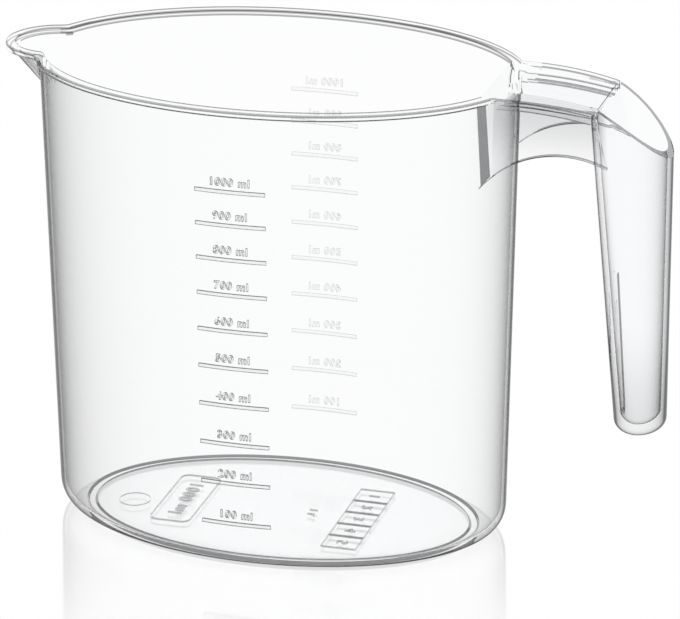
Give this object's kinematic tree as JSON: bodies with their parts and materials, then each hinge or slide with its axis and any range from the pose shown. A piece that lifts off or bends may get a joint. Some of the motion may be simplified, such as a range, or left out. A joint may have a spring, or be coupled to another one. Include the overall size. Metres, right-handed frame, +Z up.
{
  "type": "measuring jug",
  "caption": "Oval clear plastic measuring jug with a pouring spout, raised volume marks on both sides, a foot ring and an open-topped hollow grip on an arched bridge.",
  "frame": {"origin": "middle of the foot ring on the plane that the jug stands on", "axes": "+Z up, +X along the oval's long axis towards the grip, +Y across"},
  "size_m": [0.1938, 0.096, 0.1387],
  "materials": {
    "clear_plastic": "clear, glossy"
  },
  "bodies": {
    "root": {"vessel_wall": "clear_plastic", "vessel_floor": "clear_plastic", "foot_ring": "clear_plastic", "rim_flange": "clear_plastic", "pouring_spout": "clear_plastic", "bridge_web": "clear_plastic", "bridge_flange_front": "clear_plastic", "bridge_flange_back": "clear_plastic", "bridge_cheek_front": "clear_plastic", "bridge_cheek_back": "clear_plastic", "grip_shell": "clear_plastic", "grip_rib": "clear_plastic", "scale_marks_front": "clear_plastic", "scale_marks_back": "clear_plastic"}
  },
  "joints": []
}
